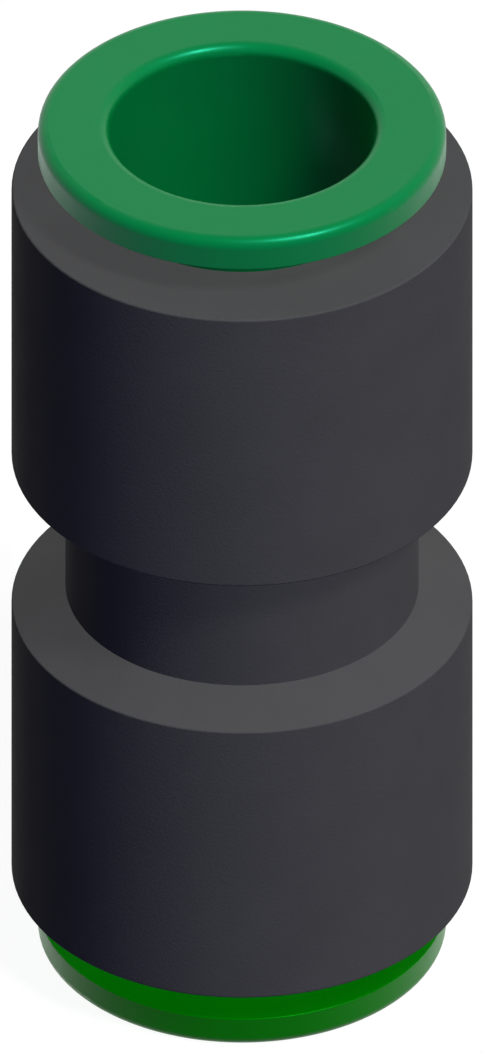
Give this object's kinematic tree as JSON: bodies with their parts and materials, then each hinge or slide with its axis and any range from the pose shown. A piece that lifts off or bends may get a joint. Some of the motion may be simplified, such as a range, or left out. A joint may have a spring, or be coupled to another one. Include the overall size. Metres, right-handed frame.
{
  "type": "push-fit union",
  "caption": "Straight push-fit union for plain tube: a dark waisted body with a flanged green release ring standing out of each end.",
  "frame": {"origin": "centre of the union, on its axis, in the middle of the stop rib", "axes": "+Z along the tube's axis, towards the upper end; X and Y are free, because the union is round"},
  "size_m": [0.021, 0.021, 0.045],
  "materials": {
    "body_plastic": "moulded, fine matte, dark grey",
    "upper_ring_plastic": "moulded, satin, emerald green",
    "lower_ring_plastic": "moulded, satin, leaf green",
    "support_plastic": "moulded, natural white",
    "spring_steel": "stainless strip, pressed",
    "seal_rubber": "moulded rubber, black"
  },
  "bodies": {
    "housing": {"body": "body_plastic", "upper_lip_seal": "seal_rubber", "upper_support_ring": "support_plastic", "upper_grab_ring": "spring_steel", "upper_retaining_collar": "body_plastic", "lower_lip_seal": "seal_rubber", "lower_support_ring": "support_plastic", "lower_grab_ring": "spring_steel", "lower_retaining_collar": "body_plastic"},
    "upper_release": {"upper_release_ring": "upper_ring_plastic"},
    "lower_release": {"lower_release_ring": "lower_ring_plastic"}
  },
  "joints": [
    {"name": "upper_release_press", "type": "slide", "parent": "housing", "child": "upper_release", "axis": [0, 0, -1], "range_m": [0, 0.00195], "stiffness_N_per_m": 2500, "springref_m": -0.0001, "deforming": ["upper_grab_ring"]},
    {"name": "lower_release_press", "type": "slide", "parent": "housing", "child": "lower_release", "axis": [0, 0, 1], "range_m": [0, 0.00195], "stiffness_N_per_m": 2500, "springref_m": -0.0001, "deforming": ["lower_grab_ring"]}
  ]
}
